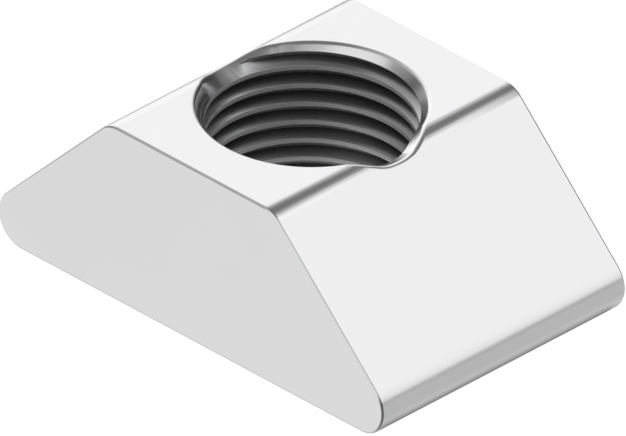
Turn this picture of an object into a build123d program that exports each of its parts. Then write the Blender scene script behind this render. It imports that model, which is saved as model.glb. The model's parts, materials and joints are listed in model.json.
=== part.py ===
"""T slot nut: a bar with a trapezoid section and one threaded hole through its top.

The nut slides along a T slot.  Its two sloping flanks pull up against the slot's lips,
and a screw comes down through the slot into the hole.  The hole is almost as wide as
the flat top, so the chamfer round its mouth runs over both rounded top edges and
breaks out on the flanks.

Millimetres, +Z up.  The origin is on the hole's axis, at the bottom face.  +X is across
the bar and +Y is along it.  The thread's turns are too fine for this model: the hole
has the thread's minor diameter, which is the width that its crests leave open.
"""

import os
from math import asin, cos, pi, radians, sin, tan

from build123d import *

os.makedirs("parts", exist_ok=True)

# The bar's section
top_width = 7.8           # between the lines where the flat top and the flanks would meet
height = 6.8
flank_angle = 45.0        # slope of each flank above the bottom face, in degrees
top_edge_radius = 1.0
bottom_edge_radius = 1.1

# The bar's length, and the broken edges of its two ends
bar_length = 11.4
end_edge_break = 0.1

# The hole, tapped M8 x 0.75
thread_diameter = 8.0
thread_pitch = 0.75
minor_drop = 1.0825       # a metric thread's minor diameter is this many pitches smaller
minor_radius = (thread_diameter - minor_drop * thread_pitch) / 2

# The chamfer round the hole's upper mouth, and the one round its lower mouth
mouth_diameter = 7.85
mouth_depth = 0.45
lower_mouth_chamfer = 0.45

# The tool that cuts the upper mouth
tool_sections = 25        # for each half turn
tool_margin = 0.3         # how far the tool reaches past the chamfer on both sides
tool_headroom = 1.0       # how far it stands above the nut

half_top = top_width / 2
half_base = half_top + height / tan(radians(flank_angle))


def mouth_section(turn):
    """The mouth tool's outline in the upright plane across the chamfer.

    The chamfer follows the nut's skin as a rolling ball would.  Its spine runs round the
    axis at the mouth's radius, mouth_depth under the skin.  From there it takes its lower
    edge straight in on the hole's wall, and its upper edge square out on the skin.
    """
    slope = radians(flank_angle)
    across = mouth_diameter / 2 * cos(turn)
    along = mouth_diameter / 2 * sin(turn)

    # The skin turns from the flat top to the flank over this arc, seen from the spine
    corner = max(top_edge_radius, mouth_depth)
    past_flat = across - (half_top - corner * tan(slope / 2))
    arc = corner - mouth_depth
    if past_flat <= 0:
        tilt, depth = 0.0, mouth_depth
    elif past_flat < arc * sin(slope):
        tilt = asin(past_flat / arc)
        depth = corner - arc * cos(tilt)
    else:
        tilt = slope
        depth = (across - half_top) * tan(slope) + mouth_depth / cos(slope)

    lower = Vector(minor_radius * cos(turn), minor_radius * sin(turn), height - depth)
    spine = Vector(across, along, height - depth)
    upper = spine + Vector(sin(tilt), 0, cos(tilt)) * mouth_depth
    reach = (upper - lower).normalized() * tool_margin
    inner, outer = lower - reach, upper + reach
    top = height + tool_headroom
    outer_top, inner_top = Vector(outer.X, outer.Y, top), Vector(inner.X, inner.Y, top)
    return Face(Wire.make_polygon([inner, outer, outer_top, inner_top]))


# Half of the tool for the upper mouth, from -Y round by +X to +Y
with BuildPart() as mouth_tool:
    turns = [pi * n / (tool_sections - 1) - pi / 2 for n in range(tool_sections)]
    loft([mouth_section(turn) for turn in turns])

with BuildPart() as t_slot_nut:
    with BuildSketch(Plane.XZ) as section:
        with BuildLine():
            Polyline(
                (-half_base, 0),
                (half_base, 0),
                (half_top, height),
                (-half_top, height),
                close=True,
            )
        make_face()
        fillet(section.vertices().group_by(Axis.Y)[0], bottom_edge_radius)
        fillet(section.vertices().group_by(Axis.Y)[-1], top_edge_radius)
    extrude(amount=bar_length / 2, both=True)
    ends = faces().filter_by(Axis.Y)
    chamfer(ends.edges(), end_edge_break)

    Hole(minor_radius)
    lower_mouth = edges().filter_by(GeomType.CIRCLE).filter_by_position(Axis.Z, 0, 0)
    chamfer(lower_mouth, lower_mouth_chamfer)
    with PolarLocations(radius=0, count=2):
        add(mouth_tool.part, mode=Mode.SUBTRACT)

t_slot_nut.part.label = "t_slot_nut"
export_step(t_slot_nut.part, "parts/t_slot_nut.step")
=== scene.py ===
import json
from math import asin, atan, atan2, copysign, cos, pi, radians, sin, tan

import bpy
from bpy.props import FloatProperty, FloatVectorProperty, IntProperty, PointerProperty
from bpy.types import NodeSocket, Operator, Panel, PropertyGroup
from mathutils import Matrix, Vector


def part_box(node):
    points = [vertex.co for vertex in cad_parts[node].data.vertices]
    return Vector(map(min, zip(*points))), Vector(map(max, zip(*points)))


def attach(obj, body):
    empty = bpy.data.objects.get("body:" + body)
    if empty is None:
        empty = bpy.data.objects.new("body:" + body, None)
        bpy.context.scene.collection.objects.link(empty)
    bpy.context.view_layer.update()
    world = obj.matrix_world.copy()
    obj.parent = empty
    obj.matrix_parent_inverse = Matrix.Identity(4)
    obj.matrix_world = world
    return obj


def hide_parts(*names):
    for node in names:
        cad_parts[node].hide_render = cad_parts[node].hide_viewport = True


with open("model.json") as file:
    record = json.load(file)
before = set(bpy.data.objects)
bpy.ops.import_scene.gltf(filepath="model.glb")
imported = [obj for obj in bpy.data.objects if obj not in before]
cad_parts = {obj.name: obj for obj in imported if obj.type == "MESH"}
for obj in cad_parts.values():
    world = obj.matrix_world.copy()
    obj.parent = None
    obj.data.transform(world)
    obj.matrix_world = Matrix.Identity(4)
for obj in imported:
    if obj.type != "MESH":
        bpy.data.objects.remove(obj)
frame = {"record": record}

bl_info = {
    "name": "T Slot Nut",
    "version": (1, 0, 0),
    "blender": (4, 5, 0),
    "location": "View3D > Sidebar > T Slot Nut",
    "description": "Models a slide-in nut for a T slot, with its thread and finish, and its studio",
    "category": "Add Mesh",
}

NODE = "t_slot_nut"
LOW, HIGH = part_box(NODE)
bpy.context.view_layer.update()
THREAD = next(mount for mount in frame["record"]["mounts"] if mount["name"] == "thread")
MM = 0.001

# The thread's profile
THREAD_DEPTH = 0.5413         # depth of a metric thread, in pitches
THREAD_FLANK = radians(30)    # how far a flank leans from the plane across the axis
LAND = 0.15 * MM              # width of the flat on a crest
SPARE_TURNS = 2               # turns past each end of the bar, before the cutter is trimmed

# The run-out: the facet that leads the thread's last groove out onto the upper chamfer
SEAT = 0.01 * MM              # how far clear of the chamfer the facet stays
CLIMB = 2.0                   # its reach across the chamfer, over its foot's depth below it
FULL_CLIMB = 0.9              # its longest reach, in widths of the chamfer

# Facets, and what counts as one point, one face or one smooth surface
CURL_STEPS = 8                # facets across the rounding of the chamfer's outer edge
END_STEPS = 5                 # facets across the rounding of an end edge
WELD = 0.001 * MM             # in a cutter, points closer than this are one
CUT_WELD = 0.0005 * MM        # and in the cut bar
SLIVER = 0.0001 * MM          # a face thinner than this is none
ONE_FACE = radians(0.5)       # faces that turn less than this are one
SMOOTH = radians(28)          # edges that turn less than this are shaded smooth

# The search for the centre of the chamfer's rounded edge
SEARCH_REACH = 4              # how far out it looks, in radii of the rounding
SEARCH_STEPS = 30

# Painted shade in the thread: where a groove's walls shut out the sky, and deeper down the bore
SKY_REACH = 0.8               # pitches over which a groove's walls shade it
SKY_SAMPLES = 16
SKY_OPEN = 0.1, 1.0           # share of open sky at which the painted shade is full, and gone
DARK_DEPTH = 0.75 * MM        # the painted shade starts to thin out this far under the flat top
CLEAR_DEPTH = 0.53 * MM       # and leaves only the grooves' roots dark from here up
SKIN_MARGIN = 0.7             # pitches past the bore's wall at which the nut's skin starts
LAND_MARGIN = 0.012 * MM      # how far past the bore's wall a crest's flat counts

# The grain of the steel
LINE_SCALE = 7000             # drawn lines, counted across the bar, per metre
LINE_STRETCH = 1, 0.05, 1     # they are twenty times as long as they are wide
CLOUD_SCALE = 600             # clouds of matt tooth, per metre
GRAIN_DETAIL = 2
LINE_SHARE = 0.4              # of the polish, which follows the clouds for the rest
POLISH_RANGE = 0.3, 0.7       # the part of the pattern that the roughness follows
POLISH_SPREAD = 0.006         # most that the roughness strays to either side
TONE_SPREAD = 0.01            # most that the colour strays to either side, as a share of it
BUMP_STRENGTH = 0.005
BUMP_HEIGHT = 0.004 * MM

# The soft panels of light that stand round the nut, with angles in degrees
PANELS = [
    # name, azimuth from +X, elevation, inner and outer half angle, radiance
    ("back_left", 147, 18, 14, 41, 1.1),
    ("back_right", 27, 33, 26, 34, 0.99),
    ("back_high", 70, 50, 1, 12, 0.85),
    ("front", -90, 18, 29, 40, 0.82),
    ("right", -43, 33, 11, 19, 0.5),
    ("left", 176, 7, 8, 22, 0.3),
    ("left_high", 206, 42, 22, 30, 0.32),
]

# Soft steps of light: where each starts and ends, and the level before and after it
ROOM = 0.3, 0.8, 0.03, 0.165                 # between the panels, by the elevation's sine
# The floor's painted light and shade, which only the nut's reflections see
FLOOR_RIGHT = 8 * MM, 10 * MM, 0.86, 0.56    # along X
FLOOR_LEFT = 8 * MM, 20 * MM, 1, 0.6         # along Y less X
FLOOR_BACK = 10 * MM, 30 * MM, 1, 0.1        # along Y less the distance from the middle plane
CORNER = 8.4 * MM, 9 * MM, 0, 0.78           # along X: the painted shade at the front right corner
BEFORE_END = -5.9 * MM, -5.5 * MM, 1, 0      # along Y: 1 in front of the nut's front end
OUT_OF_HOLE = 3 * MM, 4 * MM, 0, 1           # away from the hole's axis
HOLE_FLOOR = -3 * MM, 1 * MM, 0.8, 0.1       # along X: the painted shade down the hole

# The floor and the camera
FLOOR_SIZE = 4                # metres
FLOOR_GREY = 0.8
FLOOR_GLOW = 0.92             # what the camera sees on top of the light that falls on it
CONTACT = 0.6 * MM            # how near the nut's sides the floor's painted contact shade reaches
CLIP = 0.001, 10              # the camera's nearest and farthest distance, in metres


# ---------------------------------------------------------------- settings

class NutSizes(PropertyGroup):
    """The nut's sizes."""

    length: FloatProperty(
        name="Length", description="Length of the bar along the slot",
        default=HIGH.y - LOW.y, unit="LENGTH", precision=5,
    )
    height: FloatProperty(
        name="Height", description="Height from the bottom face to the flat top",
        default=HIGH.z - LOW.z, unit="LENGTH", precision=5,
    )
    width: FloatProperty(
        name="Width", description="Width over the rounded bottom edges",
        default=HIGH.x - LOW.x, unit="LENGTH", precision=5,
    )
    flank_angle: FloatProperty(
        name="Flank Angle", description="Slope of each flank above the bottom face",
        default=radians(45), subtype="ANGLE",
    )
    top_edge: FloatProperty(
        name="Top Edge Radius", description="Radius between the flat top and a flank",
        default=1.0 * MM, unit="LENGTH", precision=5,
    )
    bottom_edge: FloatProperty(
        name="Bottom Edge Radius", description="Radius between a flank and the bottom face",
        default=1.1 * MM, unit="LENGTH", precision=5,
    )
    end_edge: FloatProperty(
        name="End Edge Radius", description="Rounding of the edges of the two end faces",
        default=0.1 * MM, unit="LENGTH", precision=5,
    )
    bore_radius: FloatProperty(
        name="Bore Radius", description="Radius that the crests of the thread leave open",
        default=THREAD["dims"]["r_mm"] * MM, unit="LENGTH", precision=5,
    )
    pitch: FloatProperty(
        name="Pitch", description="Rise of the thread in one turn",
        default=0.715 * MM, unit="LENGTH", precision=5,
    )
    thread_start: FloatProperty(
        name="Thread Start", description="Height of a crest's lower edge on the +X side",
        default=0.635 * MM, unit="LENGTH", precision=5,
    )
    run_out: FloatProperty(
        name="Run-out", description="Depth under the flat top at which the last groove closes",
        default=0.37 * MM, unit="LENGTH", precision=5,
    )
    mouth_diameter: FloatProperty(
        name="Mouth Diameter", description="Diameter, on the flat top, of the upper chamfer",
        default=7.85 * MM, unit="LENGTH", precision=5,
    )
    mouth_depth: FloatProperty(
        name="Mouth Depth", description="Depth of the upper chamfer below the skin",
        default=0.45 * MM, unit="LENGTH", precision=5,
    )
    mouth_edge: FloatProperty(
        name="Mouth Edge Radius", description="Rounding of the upper chamfer's outer edge",
        default=0.2 * MM, unit="LENGTH", precision=5,
    )
    lower_chamfer: FloatProperty(
        name="Lower Chamfer", description="Chamfer round the lower mouth",
        default=0.45 * MM, unit="LENGTH", precision=5,
    )
    reach: FloatProperty(
        name="Reach", description="How far each cutter stands out past what it cuts",
        default=0.3 * MM, unit="LENGTH", precision=5,
    )
    skim: FloatProperty(
        name="Skim Angle", description="Angle at which the upper chamfer's cutter leaves the skin",
        default=radians(6), subtype="ANGLE",
    )
    steps: IntProperty(
        name="Steps", description="Facets round the bore", default=160, min=16,
    )
    edge_steps: IntProperty(
        name="Edge Steps", description="Facets round a whole turn of a long edge",
        default=128, min=16,
    )


class NutFinish(PropertyGroup):
    """The nut's colours, the painted shade in its thread, and its polish."""

    steel: FloatVectorProperty(
        name="Steel", description="Colour of the bright skin",
        default=(0.84, 0.84, 0.85), subtype="COLOR", size=3, min=0, max=1,
    )
    # The colour of the painted shade in the thread's grooves, at their roots and deep in the bore
    groove: FloatVectorProperty(
        name="Groove", description="Colour of the oil and scale left at the thread's roots",
        default=(0.14, 0.14, 0.142), subtype="COLOR", size=3, min=0, max=1,
    )
    # The share of the steel colour that the painted shade leaves on the flanks deep in the bore
    deep_flank_light: FloatProperty(
        name="Deep Flank Light", description="How clean the thread's flanks are next to their crests",
        default=0.65, subtype="FACTOR", min=0, max=1,
    )
    roughness: FloatProperty(
        name="Roughness", description="Roughness of the satin skin",
        default=0.26, subtype="FACTOR", min=0, max=1,
    )
    land_wear: FloatProperty(
        name="Land Wear", description="Roughness that the flats of the crests have over the skin's",
        default=0.24, subtype="FACTOR", min=0, max=1,
    )


class StageSettings(PropertyGroup):
    """Where the camera stands and what it takes in."""

    azimuth: FloatProperty(
        name="Azimuth", description="How far the camera stands round from the front",
        default=radians(45.38), subtype="ANGLE",
    )
    elevation: FloatProperty(
        name="Elevation", description="How far the camera stands above the floor",
        default=radians(31.97), subtype="ANGLE",
    )
    distance: FloatProperty(
        name="Distance", description="How far off the camera stands",
        default=0.1, unit="LENGTH", precision=5,
    )
    view_width: FloatProperty(
        name="View Width", description="Width that the picture takes in",
        default=20.86 * MM, unit="LENGTH", precision=5,
    )
    aim_right: FloatProperty(
        name="Aim Right", description="How far right of the hole's foot the picture is centred",
        default=0.04 * MM, unit="LENGTH", precision=5,
    )
    aim_up: FloatProperty(
        name="Aim Up", description="How far above the hole's foot the picture is centred",
        default=1.97 * MM, unit="LENGTH", precision=5,
    )


# ---------------------------------------------------------------- modelling helpers

def start():
    """Object mode with nothing selected."""
    if bpy.context.mode != "OBJECT":
        bpy.ops.object.mode_set(mode="OBJECT")
    bpy.ops.object.select_all(action="DESELECT")


def pick(piece):
    """Object mode with one piece selected and active."""
    start()
    piece.select_set(True)
    bpy.context.view_layer.objects.active = piece


def edit(piece):
    """Edit mode on one piece, with all of it selected."""
    pick(piece)
    bpy.ops.object.mode_set(mode="EDIT")
    bpy.ops.mesh.select_mode(type="VERT")
    bpy.ops.mesh.select_all(action="SELECT")


def edit_edges(piece, wanted):
    """Edit mode on one piece, with the edges selected whose two ends pass a test."""
    edit(piece)
    bpy.ops.mesh.select_mode(type="EDGE")
    bpy.ops.mesh.select_all(action="DESELECT")
    bpy.ops.object.mode_set(mode="OBJECT")
    points = piece.data.vertices
    for edge in piece.data.edges:
        edge.select = wanted(*(points[i].co for i in edge.vertices))
    bpy.ops.object.mode_set(mode="EDIT")


def face_outwards(piece):
    """Turns all of a closed piece's faces outwards."""
    edit(piece)
    bpy.ops.mesh.normals_make_consistent(inside=False)
    bpy.ops.object.mode_set(mode="OBJECT")


def apply_place(piece):
    """Puts a piece's place and turn into its mesh."""
    pick(piece)
    bpy.ops.object.transform_apply(location=True, rotation=True, scale=True)


def apply_modifier(piece, kind, **settings):
    """Adds one modifier to a piece, sets it and applies it."""
    pick(piece)
    bpy.ops.object.modifier_add(type=kind)
    modifier = piece.modifiers[-1]
    for name, value in settings.items():
        setattr(modifier, name, value)
    bpy.ops.object.modifier_apply(modifier=modifier.name)


def cut(piece, cutter):
    """Cuts one solid out of another and deletes the cutter."""
    apply_modifier(piece, "BOOLEAN", operation="DIFFERENCE", solver="EXACT", object=cutter)
    if not piece.data.polygons:
        raise RuntimeError(f"{cutter.name} left nothing of {piece.name}")
    pick(cutter)
    bpy.ops.object.delete()


# ---------------------------------------------------------------- the nut

def shoulder(sizes):
    """How far from the middle plane the flat top and a flank would meet."""
    edge = sizes.bottom_edge
    foot = sizes.width / 2 - edge + edge / tan(sizes.flank_angle / 2)
    return foot - sizes.height / tan(sizes.flank_angle)


def flat_end(sizes):
    """How far from the middle plane the flat top ends and its rounded edge starts."""
    return shoulder(sizes) - sizes.top_edge * tan(sizes.flank_angle / 2)


def rounded_bar(sizes):
    """The bar: the hull of a round rod along each long edge, with its end edges rounded."""
    bottom = (sizes.width / 2 - sizes.bottom_edge, sizes.bottom_edge, sizes.bottom_edge)
    top = (flat_end(sizes), sizes.height - sizes.top_edge, sizes.top_edge)
    start()
    rods = []
    for x, z, radius in (bottom, top):
        for side in (-1, 1):
            bpy.ops.mesh.primitive_cylinder_add(
                vertices=sizes.edge_steps, radius=radius, depth=sizes.length,
                location=(side * x, 0, z), rotation=(pi / 2, 0, 0),
            )
            rods.append(bpy.context.object)
    for rod in rods:
        rod.select_set(True)
    bpy.ops.object.join()
    bar = bpy.context.object
    apply_place(bar)
    edit(bar)
    bpy.ops.mesh.convex_hull()
    bpy.ops.mesh.select_all(action="SELECT")
    bpy.ops.mesh.dissolve_limited(angle_limit=ONE_FACE)

    # The edges round an end face have both their ends at the same end of the bar
    end = sizes.length / 2 - sizes.end_edge / 2
    edit_edges(bar, lambda a, b: min(abs(a.y), abs(b.y)) > end and a.y * b.y > 0)
    bpy.ops.mesh.bevel(
        offset=sizes.end_edge, segments=END_STEPS, profile=0.5, affect="EDGES",
    )
    bpy.ops.object.mode_set(mode="OBJECT")
    bar.name = bar.data.name = "t_slot_nut_body"
    return bar


def skin_at(sizes, x, depth=0.0):
    """Height of the nut's skin at one x, and its tilt, which is positive on the +X side.

    With a depth, both are those of the surface that lies that deep under the skin.
    """
    slope = sizes.flank_angle
    arc = sizes.top_edge - depth
    past_flat = abs(x) - flat_end(sizes)
    if past_flat <= 0:
        tilt, drop = 0.0, depth
    elif past_flat < arc * sin(slope):
        tilt = asin(past_flat / arc)
        drop = sizes.top_edge - arc * cos(tilt)
    else:
        tilt = slope
        drop = (abs(x) - shoulder(sizes)) * tan(slope) + depth / cos(slope)
    return sizes.height - drop, copysign(tilt, x)


def mouth_line(sizes, turn):
    """The upper chamfer's lower and upper edge at one turn round the axis.

    The chamfer follows the nut's skin as a rolling ball would.  Its spine lies mouth_depth
    under the skin.  Its lower edge lies straight in from there on the bore's wall, and its
    upper edge square out on the skin.
    """
    radius = sizes.mouth_diameter / 2
    level, tilt = skin_at(sizes, radius * cos(turn), sizes.mouth_depth)
    lower = Vector((sizes.bore_radius * cos(turn), sizes.bore_radius * sin(turn), level))
    spine = Vector((radius * cos(turn), radius * sin(turn), level))
    return lower, spine + Vector((sin(tilt), 0, cos(tilt))) * sizes.mouth_depth


def mouth_outline(sizes, turn):
    """The mouth cutter's outline at one turn: along the chamfer, then over its outer edge."""
    lower, upper = mouth_line(sizes, turn)
    radius = sizes.mouth_edge

    # Angles lie in the upright plane through the chamfer's lower and upper edge
    face = upper - lower
    outward = Vector((face.x, face.y, 0)).normalized()
    rise = atan2(face.z, face.to_2d().length)

    def step(angle):
        """A step of length 1 at one angle."""
        return outward * cos(angle) + Vector((0, 0, sin(angle)))

    # The round edge's centre lies its radius under both the skin and the chamfer
    near, far = 0, SEARCH_REACH * radius
    for _ in range(SEARCH_STEPS):
        middle = (near + far) / 2
        touch = upper + outward * middle
        touch.z, tilt = skin_at(sizes, touch.x)
        skin = -atan(tan(tilt) * outward.x)
        centre = touch + step(skin - pi / 2) * radius
        if (centre - upper).dot(step(rise - pi / 2)) < radius:
            near = middle
        else:
            far = middle

    points = [lower - face.normalized() * sizes.reach]
    end = skin + sizes.skim
    for n in range(CURL_STEPS + 1):
        points.append(centre + step(rise + (end - rise) * n / CURL_STEPS + pi / 2) * radius)
    points.append(points[-1] + step(end) * sizes.reach)
    top = sizes.height + sizes.reach
    points.append(Vector((points[-1].x, points[-1].y, top)))
    points.append(Vector((points[0].x, points[0].y, top)))
    return points


def mouth_ring(sizes):
    """The solid that the upper chamfer takes out: a ring with one outline at each step."""
    corners = len(mouth_outline(sizes, 0))
    tube = sizes.mouth_diameter / 2
    start()
    bpy.ops.mesh.primitive_torus_add(
        major_segments=sizes.steps, minor_segments=corners,
        major_radius=tube, minor_radius=sizes.mouth_depth,
    )
    ring = bpy.context.object

    # Each point of the torus takes the place of one corner of the outline
    for point in ring.data.vertices:
        place = point.co
        turn = atan2(place.y, place.x)
        corner = round(atan2(place.z, place.xy.length - tube) / (2 * pi) * corners) % corners
        place.xyz = mouth_outline(sizes, turn)[corner]
    face_outwards(ring)
    ring.name = "mouth_cutter"
    return ring


def thread_outline(sizes):
    """One pitch of the thread, from the foot of a crest up to the next: (radius, height)."""
    depth = THREAD_DEPTH * sizes.pitch
    crest = sizes.bore_radius
    flank = depth * tan(THREAD_FLANK)
    return [
        (crest, 0),
        (crest, LAND),
        (crest + depth, LAND + flank),
        (crest + depth, sizes.pitch - flank),
        (crest, sizes.pitch),
    ]


def draw_line(points):
    """A chain of edges drawn as with a pen: one vertex, extruded from point to point."""
    start()
    bpy.ops.mesh.primitive_plane_add(size=MM, location=points[0])
    line = bpy.context.object
    apply_place(line)
    edit(line)
    bpy.ops.mesh.merge(type="CENTER")
    for here, there in zip(points, points[1:]):
        bpy.ops.mesh.extrude_region_move(TRANSFORM_OT_translate={"value": there - here})
    bpy.ops.object.mode_set(mode="OBJECT")
    return line


def run_out(sizes, rod, lower_rim, upper_rim):
    """Closes the thread's last groove where it comes up into the chamfer.

    The rims are the heights of one groove's two edges on the +X side.  Where the middle of
    a groove is closer to the flat top than the run-out depth, the upper corner of its root
    goes back to the bore's wall.  The lower corner moves onto the chamfer instead, so that
    a facet climbs there from the groove's foot, and narrows until it ends at the chamfer's
    lower edge.
    """
    middle = (lower_rim + upper_rim) / 2
    for point in rod.data.vertices:
        place = point.co
        if place.xy.length < sizes.bore_radius + SEAT:
            continue
        turn = atan2(place.y, place.x)
        groove = round((place.z - middle) / sizes.pitch - turn / (2 * pi))
        level = middle + sizes.pitch * (groove + turn / (2 * pi))
        if level < sizes.height - sizes.run_out:
            continue
        if place.z > level:
            place.xy *= sizes.bore_radius / place.xy.length
            continue
        lower, upper = mouth_line(sizes, turn)
        foot = level - (middle - lower_rim)
        under = max(0, sizes.height - sizes.mouth_depth - foot)
        climb = CLIMB * under / (upper - lower).xy.length
        place.xyz = lower + (upper - lower) * min(climb, FULL_CLIMB)
        place.z = max(place.z, foot + SEAT)
        place.xy *= max(sizes.bore_radius, place.xy.length - SEAT) / place.xy.length


def threaded_rod(sizes):
    """The solid that the tap takes out of the bar: a long rod with a right-hand thread."""
    spare = SPARE_TURNS * sizes.pitch
    turns = int((sizes.height + 2 * spare) / sizes.pitch) + SPARE_TURNS

    # The first crest lies under the bar, a whole number of pitches under the named one
    phase = (sizes.thread_start + spare) % sizes.pitch
    base = -spare - sizes.pitch + phase
    profile = [Vector((radius, 0, base + rise)) for radius, rise in thread_outline(sizes)]
    rod = draw_line(profile)
    apply_modifier(
        rod, "SCREW", axis="Z", angle=2 * pi, screw_offset=sizes.pitch, iterations=turns,
        steps=sizes.steps, render_steps=sizes.steps, use_normal_calculate=True,
    )
    edit(rod)
    bpy.ops.mesh.remove_doubles(threshold=WELD)
    bpy.ops.object.mode_set(mode="OBJECT")
    run_out(sizes, rod, profile[1].z, profile[-1].z)
    for height, side in ((-spare / 2, -1), (sizes.height + spare / 2, 1)):
        edit(rod)
        bpy.ops.mesh.bisect(
            plane_co=(0, 0, height), plane_no=(0, 0, side), use_fill=True, clear_outer=True,
            threshold=WELD,
        )
    face_outwards(rod)
    rod.name = "thread_cutter"
    return rod


def lower_cone(sizes):
    """The solid that the lower chamfer takes out."""
    start()
    bpy.ops.mesh.primitive_cone_add(
        vertices=sizes.steps,
        radius1=sizes.bore_radius + sizes.lower_chamfer + sizes.reach,
        radius2=sizes.bore_radius - sizes.reach,
        depth=sizes.lower_chamfer + 2 * sizes.reach,
        location=(0, 0, sizes.lower_chamfer / 2),
    )
    cone = bpy.context.object
    cone.name = "lower_cutter"
    apply_place(cone)
    return cone


def finish_mesh(piece):
    """Welds what the cuts left, and shades the rounded edges smooth and the flat faces flat."""
    edit(piece)
    bpy.ops.mesh.remove_doubles(threshold=CUT_WELD)
    bpy.ops.mesh.select_all(action="SELECT")
    bpy.ops.mesh.dissolve_degenerate(threshold=SLIVER)
    pick(piece)
    bpy.ops.object.shade_smooth_by_angle(angle=SMOOTH)
    apply_modifier(piece, "WEIGHTED_NORMAL", keep_sharp=True, weight=100)


# ---------------------------------------------------------------- material helpers

class Graph:
    """An emptied node tree, and short calls that fill it."""

    def __init__(self, tree):
        self.tree = tree
        tree.nodes.clear()

    def feed(self, socket, value):
        """Links an output to an input, or sets the input to a plain value."""
        if isinstance(value, NodeSocket):
            self.tree.links.new(value, socket)
        else:
            socket.default_value = value

    def add(self, kind, inputs=None, **settings):
        """Adds a node, sets it and feeds its inputs, which go by name or number."""
        node = self.tree.nodes.new(kind)
        for name, value in settings.items():
            setattr(node, name, value)
        for key, value in (inputs or {}).items():
            self.feed(node.inputs[key], value)
        return node

    def math(self, operation, *values):
        """The result of one Math node."""
        return self.add("ShaderNodeMath", dict(enumerate(values)), operation=operation).outputs[0]

    def product(self, first, *others):
        """All the values multiplied together."""
        for value in others:
            first = self.math("MULTIPLY", first, value)
        return first

    def rest(self, value):
        """What the value leaves of 1."""
        return self.math("SUBTRACT", 1, value)

    def step(self, value, low, high, to_low, to_high):
        """A smooth step: to_low as far as low, and to_high from high on."""
        inputs = {
            "Value": value, "From Min": low, "From Max": high, "To Min": to_low, "To Max": to_high,
        }
        node = self.add("ShaderNodeMapRange", inputs, interpolation_type="SMOOTHSTEP")
        return node.outputs["Result"]


def new_material(name):
    """A material with an empty node tree."""
    material = bpy.data.materials.new(name)
    material.use_nodes = True
    return material, Graph(material.node_tree)


def new_group(name, inputs, outputs):
    """A new shader node group with float sockets: its graph, what it is given, what it puts out."""
    group = bpy.data.node_groups.new(name, "ShaderNodeTree")
    for way, names in (("INPUT", inputs), ("OUTPUT", outputs)):
        for socket in names:
            group.interface.new_socket(socket, in_out=way, socket_type="NodeSocketFloat")
    graph = Graph(group)
    return graph, graph.add("NodeGroupInput").outputs, graph.add("NodeGroupOutput").inputs


# ---------------------------------------------------------------- materials

def satin_grain():
    """The grain of drawn and tumbled steel: faint lines along the bar and a fine matt tooth.

    Tone is for its colour, Polish for its roughness and Height for its bump.
    """
    graph, given, out = new_group(
        "satin_grain", ("Line Scale", "Cloud Scale"), ("Tone", "Polish", "Height"))
    place = graph.add("ShaderNodeTexCoord").outputs["Object"]

    def noise(scale, stretch):
        mapping = graph.add("ShaderNodeMapping", {"Vector": place, "Scale": stretch})
        texture = graph.add("ShaderNodeTexNoise", {
            "Vector": mapping.outputs["Vector"], "Scale": scale, "Detail": GRAIN_DETAIL,
        })
        return texture.outputs["Fac"]

    lines = noise(given["Line Scale"], LINE_STRETCH)
    cloud = noise(given["Cloud Scale"], (1, 1, 1))
    lined, clouded = graph.product(lines, LINE_SHARE), graph.product(cloud, 1 - LINE_SHARE)
    graph.feed(out["Tone"], cloud)
    graph.feed(out["Polish"], graph.math("ADD", clouded, lined))
    graph.feed(out["Height"], lines)
    return graph.tree


def painted_thread_shade():
    """Painted shade in the thread, darkest at the roots of its grooves, where their walls shut out
    the sky, and deeper down the bore.

    The first output is 1 where no shade is painted and falls to 0 at a root.  Land is 1 on the
    flats of the crests.
    The two radii are measured from the hole's axis, and the two levels from its foot.
    """
    graph, given, out = new_group(
        "painted_thread_shade",
        ("Reach", "Dark Level", "Clear Level", "Deep Flank Light", "Skin Radius", "Land Radius"),
        ("Lit Share", "Land"))
    sky = graph.add(
        "ShaderNodeAmbientOcclusion", {"Distance": given["Reach"]},
        only_local=True, samples=SKY_SAMPLES)
    place = graph.add("ShaderNodeTexCoord").outputs["Object"]
    axes = graph.add("ShaderNodeSeparateXYZ", {"Vector": place}).outputs
    squares = [graph.math("POWER", axes[name], 2) for name in "XY"]
    away = graph.math("SQRT", graph.math("ADD", *squares))
    skin = graph.math("GREATER_THAN", away, given["Skin Radius"])
    land = graph.math("LESS_THAN", away, given["Land Radius"])
    # Painted shade that deepens down the bore, lifted off the skin and the flats of the crests
    lit_share = graph.step(
        axes["Z"], given["Dark Level"], given["Clear Level"], given["Deep Flank Light"], 1)
    for unshaded in (skin, land):
        lit_share = graph.math("MAXIMUM", lit_share, unshaded)
    # Painted shade in the hollows: the ambient occlusion's share of open sky, times the depth's
    # share
    graph.feed(out["Lit Share"], graph.product(graph.step(sky.outputs["AO"], *SKY_OPEN, 0, 1), lit_share))
    graph.feed(out["Land"], land)
    return graph.tree


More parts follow.
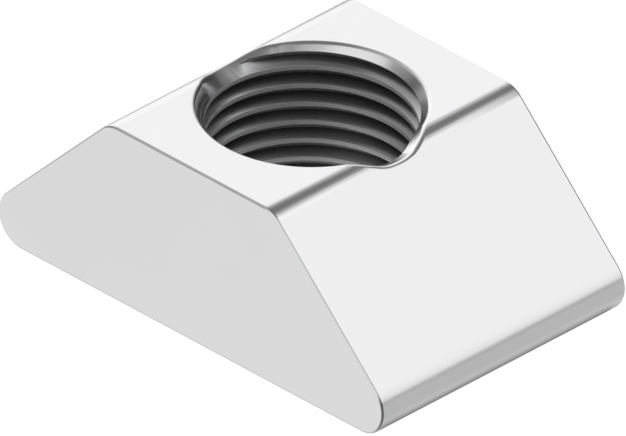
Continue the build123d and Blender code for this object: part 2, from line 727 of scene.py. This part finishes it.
def steel_material(sizes, finish):
    """Satin steel, with painted shade in the thread's grooves and down the bore."""
    material, graph = new_material("satin_steel")
    grain = graph.add(
        "ShaderNodeGroup", node_tree=satin_grain(),
        inputs={"Line Scale": LINE_SCALE, "Cloud Scale": CLOUD_SCALE},
    ).outputs
    thread_shade = graph.add(
        "ShaderNodeGroup", node_tree=painted_thread_shade(),
        inputs={
            "Reach": SKY_REACH * sizes.pitch,
            "Dark Level": sizes.height - DARK_DEPTH,
            "Clear Level": sizes.height - CLEAR_DEPTH,
            "Deep Flank Light": finish.deep_flank_light,
            "Skin Radius": sizes.bore_radius + SKIN_MARGIN * sizes.pitch,
            "Land Radius": sizes.bore_radius + LAND_MARGIN,
        },
    ).outputs

    def mix(factor, a, b):
        inputs = {"Factor": factor, "A": a, "B": b}
        return graph.add("ShaderNodeMix", inputs, data_type="RGBA").outputs["Result"]

    dull, bright = (
        (*(min(1, (1 + spread) * channel) for channel in finish.steel), 1)
        for spread in (-TONE_SPREAD, TONE_SPREAD)
    )
    tone = mix(grain["Tone"], dull, bright)
    polish = graph.step(
        grain["Polish"], *POLISH_RANGE,
        finish.roughness - POLISH_SPREAD, finish.roughness + POLISH_SPREAD)
    wear = graph.product(thread_shade["Land"], finish.land_wear)
    bump = graph.add("ShaderNodeBump", {
        "Strength": BUMP_STRENGTH, "Distance": BUMP_HEIGHT, "Height": grain["Height"],
    })
    # The base colour darkens towards the groove colour as painted shade in the thread
    shader = graph.add("ShaderNodeBsdfPrincipled", {
        "Base Color": mix(thread_shade["Lit Share"], (*finish.groove, 1), tone),
        "Metallic": 1,
        "Roughness": graph.math("ADD", polish, wear),
        "Normal": bump.outputs["Normal"],
    })
    graph.add("ShaderNodeOutputMaterial", {"Surface": shader.outputs["BSDF"]})
    return material


def floor_material():
    """A pale floor, white to the camera with the nut's faint shadow.

    The nut's polish shows painted light and shade on it: bright in front, greyer to the left and
    right, dim at the back and down the hole, and painted shade at the front right corner and close
    to the sides.
    """
    material, graph = new_material("pale_floor")
    place = graph.add("ShaderNodeTexCoord").outputs["Object"]
    axes = graph.add("ShaderNodeSeparateXYZ", {"Vector": place}).outputs
    x, y = axes["X"], axes["Y"]

    before_end = graph.step(y, *BEFORE_END)
    near = graph.add("ShaderNodeAmbientOcclusion", {"Distance": CONTACT}).outputs["AO"]
    # Painted light and shade for the nut's reflections, with painted contact shade close to its
    # sides
    painted_floor_light = graph.product(
        graph.step(x, *FLOOR_RIGHT),
        graph.step(graph.math("SUBTRACT", y, x), *FLOOR_LEFT),
        graph.step(graph.math("SUBTRACT", y, graph.math("ABSOLUTE", x)), *FLOOR_BACK),
        graph.rest(graph.product(graph.step(x, *CORNER), before_end)),
        graph.rest(graph.product(graph.rest(near), graph.rest(before_end))),
    )
    away = graph.add("ShaderNodeVectorMath", {0: place}, operation="LENGTH").outputs["Value"]
    # Painted shade down the hole
    level = graph.add("ShaderNodeMix", {
        "Factor": graph.step(away, *OUT_OF_HOLE),
        "A": graph.step(x, *HOLE_FLOOR),
        "B": painted_floor_light,
    }).outputs["Result"]

    path = graph.add("ShaderNodeLightPath").outputs
    matt = graph.add("ShaderNodeBsdfDiffuse", {"Color": (FLOOR_GREY, FLOOR_GREY, FLOOR_GREY, 1)})
    white = graph.add(
        "ShaderNodeEmission", {"Strength": graph.product(path["Is Camera Ray"], FLOOR_GLOW)})
    seen = graph.add("ShaderNodeAddShader", {0: matt.outputs[0], 1: white.outputs[0]})
    # To glossy rays the floor glows with this painted light, so the nut reflects it in place of the
    # lit floor
    painted_glow = graph.add("ShaderNodeEmission", {"Strength": level})
    mix = graph.add("ShaderNodeMixShader", {
        "Fac": path["Is Glossy Ray"], 1: seen.outputs[0], 2: painted_glow.outputs[0],
    })
    graph.add("ShaderNodeOutputMaterial", {"Surface": mix.outputs[0]})
    return material


# ---------------------------------------------------------------- the studio

def towards(azimuth, elevation):
    """The direction at one angle round from +X and one angle up, as a vector of length 1."""
    flat = cos(elevation)
    return Vector((cos(azimuth) * flat, sin(azimuth) * flat, sin(elevation)))


def make_floor():
    """A wide flat floor under the nut."""
    start()
    bpy.ops.mesh.primitive_plane_add(size=FLOOR_SIZE)
    floor = bpy.context.object
    floor.name = "floor"
    floor.data.materials.append(floor_material())


def make_world():
    """A dim room with soft panels of light; the camera itself sees plain white."""
    world = bpy.data.worlds.new("studio")
    bpy.context.scene.world = world
    world.use_nodes = True
    graph = Graph(world.node_tree)
    way = graph.add("ShaderNodeTexCoord").outputs["Generated"]
    up = graph.add("ShaderNodeSeparateXYZ", {"Vector": way}).outputs["Z"]
    light = graph.step(up, *ROOM)
    for _, azimuth, elevation, inner, outer, radiance in PANELS:
        middle = towards(radians(azimuth), radians(elevation))
        off = graph.add("ShaderNodeVectorMath", {0: way, 1: middle}, operation="DOT_PRODUCT")
        panel = graph.step(
            off.outputs["Value"], cos(radians(outer)), cos(radians(inner)), 0, radiance)
        light = graph.math("ADD", light, panel)
    room = graph.add("ShaderNodeBackground", {"Color": (1, 1, 1, 1), "Strength": light})
    white = graph.add("ShaderNodeBackground", {"Color": (1, 1, 1, 1)})
    path = graph.add("ShaderNodeLightPath").outputs
    mix = graph.add("ShaderNodeMixShader", {
        "Fac": path["Is Camera Ray"], 1: room.outputs[0], 2: white.outputs[0],
    })
    graph.add("ShaderNodeOutputWorld", {"Surface": mix.outputs[0]})


def make_camera(settings):
    """A camera with a parallel view, from the settings' angle."""
    back = towards(settings.azimuth - pi / 2, settings.elevation)
    right = towards(settings.azimuth, 0)
    up = back.cross(right)
    data = bpy.data.cameras.new("camera")
    data.type = "ORTHO"
    data.ortho_scale = settings.view_width
    data.clip_start, data.clip_end = CLIP
    camera = bpy.data.objects.new("camera", data)
    bpy.context.scene.collection.objects.link(camera)
    camera.location = (
        back * settings.distance + right * settings.aim_right + up * settings.aim_up
    )
    camera.rotation_mode = "QUATERNION"
    camera.rotation_quaternion = (-back).to_track_quat("-Z", "Y")
    bpy.context.scene.camera = camera


# ---------------------------------------------------------------- operators

class NUT_OT_body(Operator):
    """Model the nut with its thread, its rounded edges and its satin steel"""

    bl_idname = "nut.body"
    bl_label = "Nut"

    def execute(self, context):
        sizes, finish = context.scene.nut_sizes, context.scene.nut_finish
        piece = rounded_bar(sizes)
        for make_cutter in (mouth_ring, threaded_rod, lower_cone):
            cut(piece, make_cutter(sizes))
        piece.data.materials.append(steel_material(sizes, finish))
        finish_mesh(piece)
        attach(piece, "root")
        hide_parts(NODE)
        return {"FINISHED"}


class NUT_OT_stage(Operator):
    """Add the pale floor, the soft light and the camera"""

    bl_idname = "nut.stage"
    bl_label = "Stage"

    def execute(self, context):
        make_floor()
        make_world()
        make_camera(context.scene.nut_stage)
        context.scene.view_settings.view_transform = "Standard"
        return {"FINISHED"}


class NUT_PT_panel(Panel):
    """The nut's operators in the sidebar, each over its own settings"""

    bl_label = "T Slot Nut"
    bl_space_type = "VIEW_3D"
    bl_region_type = "UI"
    bl_category = "T Slot Nut"

    def draw(self, context):
        scene = context.scene
        parts = (
            (NUT_OT_body, (scene.nut_sizes, scene.nut_finish)),
            (NUT_OT_stage, (scene.nut_stage,)),
        )
        for operator, groups in parts:
            self.layout.operator(operator.bl_idname)
            for group in groups:
                for name in type(group).__annotations__:
                    self.layout.prop(group, name)


CLASSES = (NutSizes, NutFinish, StageSettings, NUT_OT_body, NUT_OT_stage, NUT_PT_panel)


def register():
    """Registers the classes and hangs the settings on the scene."""
    for cls in CLASSES:
        bpy.utils.register_class(cls)
    bpy.types.Scene.nut_sizes = PointerProperty(type=NutSizes)
    bpy.types.Scene.nut_finish = PointerProperty(type=NutFinish)
    bpy.types.Scene.nut_stage = PointerProperty(type=StageSettings)


def unregister():
    """Takes the settings off the scene and unregisters the classes."""
    del bpy.types.Scene.nut_stage, bpy.types.Scene.nut_finish, bpy.types.Scene.nut_sizes
    for cls in reversed(CLASSES):
        bpy.utils.unregister_class(cls)


def main():
    """Registers the classes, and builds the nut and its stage."""
    register()
    bpy.ops.nut.body()
    bpy.ops.nut.stage()


if __name__ == "__main__":
    main()
